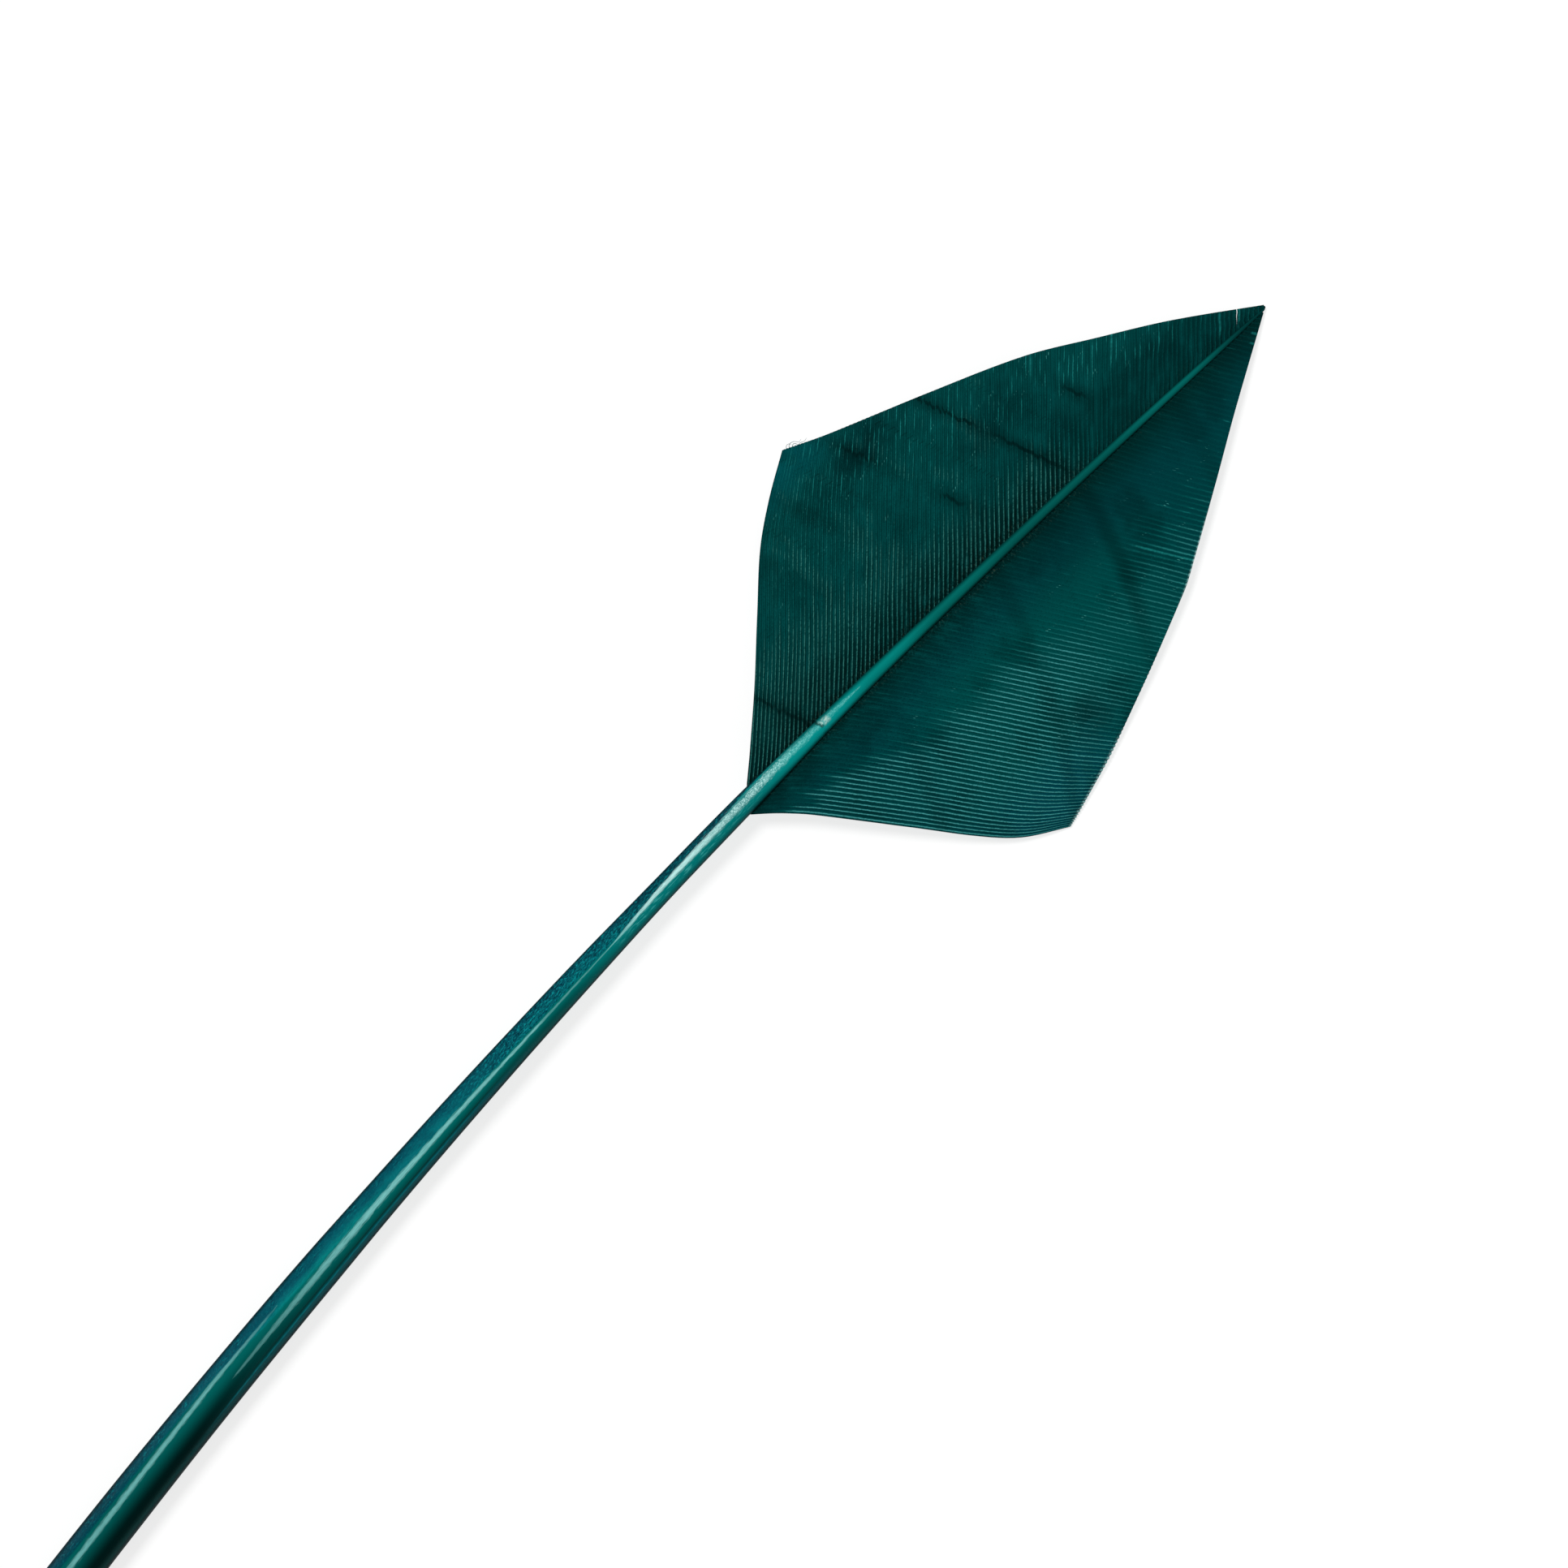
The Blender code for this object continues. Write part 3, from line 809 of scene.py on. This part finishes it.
def dark_bars(n, colour):
    """The bars where the feather grew thinner: soft, and on the left with a dark core."""
    bar = n.absolute(n.plus(n.value("bar"), n.scaled(n.ragged, 0.0017, -0.00085)))
    dark = n.ramp(bar, 0.0018, 0.0002, 0.0, 0.45)
    if n.left:
        core = n.times(n.ramp(bar, 0.00045, 0.00014, 0.0, 0.90), n.ramp(n.patches, 0.36, 0.52, 0.5, 1.0),
                       n.ramp(n.bar_shade, 0.35, 0.80, 0.1, 1.0))
        dark = n.greater(dark, core)
    return n.over(colour, (0, 18, 18), dark, n.bar_shade)


def flecks(n, colour):
    """Pale flecks along the barb shafts towards the cut, pale streaks, and a few bright motes."""
    flecked = n.noise((n.run, 320), (n.lane, 7.7, 5.0), 1.0)
    outer = n.times(n.ramp(n.rim, 0.50, 0.85), n.ramp(n.along, 0.044, 0.062), n.ramp(n.along, 0.082, 0.076))
    if n.left:
        corner = n.times(n.ramp(n.rim, 0.60, 0.85), n.ramp(n.along, 0.028, 0.034),
                         n.ramp(n.along, 0.056, 0.044))
        amount = n.plus(n.scaled(outer, 0.60, 0.04), n.times(corner, 0.55))
        flecked = n.times(n.ramp(flecked, 0.48, 0.66), amount)
    else:
        flecked = n.times(n.ramp(flecked, 0.62, 0.72), n.scaled(outer, 0.30, 0.09))
    pale = n.times(n.value("pale"), n.ramp(n.streaks, 0.35, 0.6, 0.5, 1.0))
    light = n.plus(n.times(flecked, n.ramp(n.off_centre, 0.34, 0.08)),
                   n.times(pale, n.ramp(n.off_centre, 0.70, 0.15)))
    colour = n.over(colour, (30, 132, 128), light, n.ramp(n.beads, 0.3, 0.6, 0.5, 1.0))
    motes = n.noise((n.run, 1100), (n.plus(n.lane, n.scaled(n.cross, 0.9)), 2.9, 20.0), 1.0)
    return n.over(colour, (84, 176, 168), n.ramp(motes, 0.74, 0.79), n.ramp(n.distance, 0.004, 0.010),
                  n.ramp(n.along, 0.014, 0.024), 0.6)


def rachis_shade_and_down(n, colour):
    """Painted shade beside the rachis, broken by downy barbules with dull pale tips."""
    fringe = n.noise((n.along, 3600), (n.distance, 2400), 3.0, 0.65)
    root = n.times(n.ramp(n.plus(n.distance, n.scaled(fringe, 0.0012, -0.0006)), 0.0020, 0.0012),
                   n.ramp(n.along, 0.062, 0.048, 0.2, 1.0))
    # Painted shade beside the rachis, broken by the downy barbules
    colour = n.over(colour, (2, 24, 22), root, n.ramp(fringe, 0.58, 0.42, 0.0, 0.75))
    return n.over(colour, (52, 66, 54), root, n.ramp(fringe, 0.56, 0.66, 0.0, 0.6))


def frayed_ends(n, colour):
    """Pale ends on the right vane's cut barbs, in the two stretches where they have frayed."""
    frayed = n.ramp(n.plus(n.rim, n.scaled(n.ragged, 0.012, -0.006)), 0.989, 0.996)
    stretches = n.greater(n.ramp(n.along, 0.040, 0.034),
                          n.times(n.ramp(n.along, 0.054, 0.058), n.ramp(n.along, 0.066, 0.061)))
    return n.over(colour, (150, 200, 196), frayed, stretches, n.ramp(n.off_centre, 0.75, 0.30, 0.1, 0.6))


def vane_material(name, side):
    """Dyed web: dark teal, with paler barb shafts that come and go, painted highlights on their crests,
    painted shade by the rachis, and dark bars.
    """
    n = VaneNodes(name, side)
    colour = left_web(n) if n.left else right_web(n)
    for layer in (barb_shafts_and_crest_highlights, clouds, barbule_fuzz, dark_bars, flecks, rachis_shade_and_down):
        colour = layer(n, colour)
    if not n.left:
        colour = frayed_ends(n, colour)
    n.bump(n.plus(n.barbules, n.beads), 0.00004, 0.5)
    return n.finish(colour, 0.65, 0.03, (0.05, 1.0, 0.95, 1.0))


# How the dye takes along the shaft: (from, to, the colour it has changed to)
RACHIS_COLOURS = (
    (-0.120, -0.040, (0, 104, 100)), (-0.034, -0.022, (2, 116, 114)), (-0.002, 0.009, (4, 142, 138)),
    (0.014, 0.022, (2, 122, 116)), (0.024, 0.033, (2, 98, 92)), (0.036, 0.046, (2, 84, 79)),
    (0.060, 0.070, (3, 95, 90)), (0.074, 0.085, (2, 52, 51)),
)


class QuillNodes(Nodes):
    """The values that the shaft's mesh carries, and the noises that its layers share."""

    def __init__(self, name):
        super().__init__(name)
        self.cross, self.along, self.top = self.value("cross"), self.value("along"), self.value("top")
        self.sideways = self.times(self.cross, self.value("half_width"))
        self.grain = self.noise((self.along, 750), (self.sideways, 9000), 3.0)
        self.specks = self.noise((self.along, 4000), (self.sideways, 11000), 3.0, 0.65)
        self.clumps = self.noise((self.along, 1900), (self.sideways, 3600), 2.0)
        self.fibres = self.noise(self.plus(self.scaled(self.along, 1900), self.scaled(self.sideways, 1300)),
                                 (self.sideways, 5200), 3.0, 0.6)


def horn(n):
    """The shaft's own colour, with painted shade down the right of the stem and in the groove, the
    right-hand flat, and a painted highlight on the groove's lip.
    """
    body = linear(0, 84, 80)
    for start, end, dye in RACHIS_COLOURS:
        body = n.over(body, dye, n.ramp(n.along, start, end))
    # Painted shade, darkening the stem towards its right side, in three overlapping stretches along it
    body = n.over(body, (0, 24, 23), n.ramp(n.cross, -0.30, 0.50), n.ramp(n.cross, 0.98, 0.60, 0.55, 1.0),
                  n.ramp(n.along, -0.070, -0.100))
    body = n.over(body, (0, 62, 60), n.ramp(n.cross, 0.15, 0.60), n.ramp(n.along, -0.105, -0.085),
                  n.ramp(n.along, -0.018, -0.038), 0.7)
    body = n.over(body, (0, 78, 80), n.ramp(n.cross, 0.55, 0.80), n.ramp(n.along, -0.040, -0.025),
                  n.ramp(n.along, 0.010, -0.004), 0.7)
    # Painted shade in the groove
    body = n.over(body, (0, 44, 42), n.value("groove"), 0.8)
    body = n.over(body, (2, 78, 84), n.value("right_flat"), n.ramp(n.along, -0.034, -0.052),
                  n.ramp(n.along, -0.108, -0.078, 0.15, 0.95))
    # Painted highlight along the groove's lip
    return n.over(body, (14, 118, 128), n.value("lip_highlight"), n.ramp(n.grain, 0.35, 0.55, 0.3, 0.8))


def left_flat_colour(n):
    """The flat where the left vane was stripped: bluer, blotched, crackled above and at its edge."""
    colour = n.mix(n.ramp(n.cross, -0.95, -0.15), linear(1, 66, 80), linear(2, 100, 106))
    colour = n.over(colour, (1, 52, 64), n.ramp(n.along, -0.098, -0.118, 0.0, 0.9))
    blotch = n.noise((n.along, 260), (n.sideways, 900), 3.0)
    colour = n.over(colour, (1, 60, 76), n.ramp(blotch, 0.40, 0.62, 0.0, 0.6))
    green = n.times(n.ramp(n.cross, -0.52, -0.22), n.ramp(n.along, -0.060, -0.072),
                    n.ramp(n.along, -0.104, -0.092))
    colour = n.over(colour, (2, 118, 115), green, n.ramp(n.grain, 0.35, 0.58, 0.35, 0.95))

    edge = n.noise((n.along, 420), (n.sideways, 500), 3.0, 0.6)
    dappled = n.times(n.ramp(n.cross, -0.35, -0.80, 0.0, 0.6), n.ramp(edge, 0.46, 0.60))
    crackled = n.greater(n.ramp(n.along, -0.056, -0.040, 0.12, 1.0), dappled)
    colour = n.over(colour, (10, 138, 142), n.ramp(n.fibres, 0.51, 0.64, 0.0, 0.85), crackled)
    colour = n.over(colour, (0, 36, 48), n.ramp(n.fibres, 0.48, 0.38, 0.0, 0.90), crackled)
    cracks = n.noise(n.plus(n.scaled(n.along, 2200), n.scaled(n.sideways, 900)), (n.sideways, 5200), 2.0)
    colour = n.over(colour, (0, 36, 50), n.about(cracks, 0.5, 0.045, 0.010), crackled, 0.60)
    colour = n.over(colour, (8, 130, 140), n.ramp(n.specks, 0.52, 0.66, 0.0, 0.22))
    return n.over(colour, (0, 38, 48), n.ramp(n.along, -0.028, -0.014, 0.0, 0.45))


def scuffs_and_painted_highlight(n, colour):
    """The pale band along the top, part scuffing and part painted highlight, streaky on the stem and
    speckled by the foot of the vanes.
    """
    ragged = n.scaled(n.grain, 2.2, -1.10)
    lower = n.times(n.ramp(n.plus(n.value("lower_band"), ragged), 1.45, 0.35),
                    n.ramp(n.along, -0.086, -0.099, 0.30, 0.72))
    upper = n.times(n.ramp(n.plus(n.value("upper_band"), ragged), 1.40, 0.45),
                    n.ramp(n.along, -0.096, -0.064, 0.30, 1.0))
    # The band's colour: pale scuffs together with a painted highlight
    scuff_highlight_colour = n.mix(n.ramp(n.along, -0.0245, -0.016), linear(120, 190, 187), linear(184, 230, 226))
    scuff_highlight_colour = n.over(scuff_highlight_colour, (140, 222, 216), n.ramp(n.along, 0.002, 0.009))
    streaky = n.ramp(n.grain, 0.32, 0.58, 0.62, 1.0)
    speckled = n.times(n.ramp(n.specks, 0.40, 0.62, 0.12, 1.0), n.ramp(n.clumps, 0.30, 0.52, 0.35, 1.0))
    broken = n.mix(n.ramp(n.along, -0.012, 0.000), streaky, speckled)
    scuff_and_highlight = n.times(n.greater(lower, upper), broken, n.top, n.ramp(n.along, 0.002, 0.014, 1.0, 0.42),
                   n.about(n.along, -0.031, 0.0075, 0.0050, 1.0, 0.55))
    colour = n.mix(scuff_and_highlight, colour, scuff_highlight_colour)
    # A softer painted highlight right of the middle of the shaft, near the foot of the vanes
    return n.over(colour, (70, 176, 172), n.ramp(n.grain, 0.50, 0.66, 0.0, 0.65),
                  n.ramp(n.cross, 0.02, 0.22), n.ramp(n.cross, 0.72, 0.45),
                  n.ramp(n.along, -0.026, -0.020), n.ramp(n.along, 0.004, -0.002))


def kink_scar(n, colour):
    """The pale scar on the kink, with a dark crease under it."""
    from_kink = n.maths("SUBTRACT", n.scaled(n.along, 1.0, -KINK - 0.0004), n.scaled(n.sideways, 0.28))
    from_kink = n.plus(from_kink, n.scaled(n.clumps, 0.0009, -0.00045))
    colour = n.over(colour, (176, 204, 196), n.about(from_kink, 0.0008, 0.0009, 0.0003),
                    n.about(n.cross, -0.25, 0.60, 0.15), n.ramp(n.clumps, 0.36, 0.60, 0.1, 0.95), n.top)
    return n.over(colour, (16, 50, 44), n.about(from_kink, 0.0, 0.00030, 0.00006),
                  n.ramp(n.cross, 0.35, 0.0), n.top, 0.8)


def painted_side_shade(n, colour):
    """Painted shade down the shaft's sides, darkest at its edges."""
    sides = n.greater(n.ramp(n.cross, -0.30, -1.02, 0.0, 0.72), n.ramp(n.cross, 0.52, 1.02, 0.0, 0.55))
    colour = n.over(colour, (0, 30, 29), sides, n.ramp(n.along, -0.004, 0.016))
    return n.over(colour, (0, 22, 27), n.ramp(n.absolute(n.cross), 0.80, 0.97),
                  n.ramp(n.along, -0.004, 0.016, 0.88, 0.35))


def quill_material(name):
    """Dyed horn: blue-teal where stripped, a pale band of scuffs and painted highlight, painted shade down
    its sides, most on the right.
    """
    n = QuillNodes(name)
    flat_share = n.times(n.ramp(n.value("left_flat"), 0.06, -0.06), n.top)
    colour = n.mix(flat_share, horn(n), left_flat_colour(n))
    for layer in (scuffs_and_painted_highlight, kink_scar, painted_side_shade):
        colour = layer(n, colour)
    n.bump(n.plus(n.grain, n.times(n.fibres, flat_share, 1.5)), 0.00005, 0.6)
    return n.finish(colour, n.ramp(flat_share, 0.0, 1.0, 0.42, 0.62), 0.02, (0.15, 1.0, 0.97, 1.0))


WHITE = (1, 1, 1, 1)


def floor_material(name):
    """Pale paper, with a little light of its own so that shadows stay faint."""
    n = Nodes(name)
    paper = n.add("ShaderNodeTexNoise")
    n.put_all(paper, {"Vector": n.add("ShaderNodeTexCoord").outputs["Object"], "Scale": 40.0})
    shade = n.ramp(paper.outputs["Fac"], 0.3, 0.7, 0.27, 0.28)
    grey = n.fed(n.add("ShaderNodeCombineColor"), shade, shade, shade)
    n.put_all(n.shader, {"Emission Color": WHITE, "Emission Strength": 0.75})
    return n.finish(grey, 0.9, 0.0, WHITE)


# ---------------------------------------- the pieces and their place
def dress(piece, node, material):
    """One visual piece in place of its CAD node."""
    piece.data.materials.append(material)
    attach(piece, BODY)
    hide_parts(node)


dress(build_shaft("shaft_detail"), "shaft", quill_material("dyed_quill"))
dress(build_vane("left_vane_barbs", LEFT), "left_vane",
      vane_material("dyed_left_vane", LEFT.side))
dress(build_vane("right_vane_barbs", RIGHT), "right_vane",
      vane_material("dyed_right_vane", RIGHT.side))


# ---------------------------------------- floor, light, camera
def add_floor():
    """A wide sheet just under the feather."""
    far = 3.0
    mesh = bpy.data.meshes.new("floor")
    corners = [(-far, -far, 0), (far, -far, 0), (far, far, 0), (-far, far, 0)]
    mesh.from_pydata(corners, [], [(0, 1, 2, 3)])
    mesh.materials.append(floor_material("pale_floor"))
    floor = bpy.data.objects.new("floor", mesh)
    floor.location.z = -0.00005
    bpy.context.scene.collection.objects.link(floor)


def add_light():
    """One broad soft light from the feather's left, and even pale light all round."""
    lamp = bpy.data.lights.new("key", "SUN")
    lamp.energy, lamp.angle = 2.15, math.radians(17)
    key = bpy.data.objects.new("key", lamp)
    key.rotation_euler = (0.0, math.radians(-27), 0.0)
    bpy.context.scene.collection.objects.link(key)
    world = bpy.data.worlds.new("studio")
    world.use_nodes = True
    sky = world.node_tree.nodes["Background"].inputs
    sky["Color"].default_value, sky["Strength"].default_value = WHITE, 0.42
    bpy.context.scene.world = world


def add_camera():
    """Straight above, turned so that the feather lies from lower left to upper right."""
    across_view = 0.1932                    # width of what the camera sees at the surface
    aim_across, aim_along = 0.00147, 0.00427    # the middle of the view, from the vanes' foot
    lens = bpy.data.cameras.new("camera")
    lens.lens, lens.sensor_width = 100.0, 36.0
    height = across_view * lens.lens / lens.sensor_width
    camera = bpy.data.objects.new("camera", lens)
    camera.location = (ORIGIN[0] + aim_across, ORIGIN[1] + aim_along, height)
    camera.rotation_euler = (0.0, 0.0, math.atan2(0.7207, 0.6933))
    lens.clip_start, lens.clip_end = 0.01, 20.0
    bpy.context.scene.collection.objects.link(camera)
    bpy.context.scene.camera = camera


add_floor()
add_light()
add_camera()
bpy.context.scene.view_settings.view_transform = "Standard"
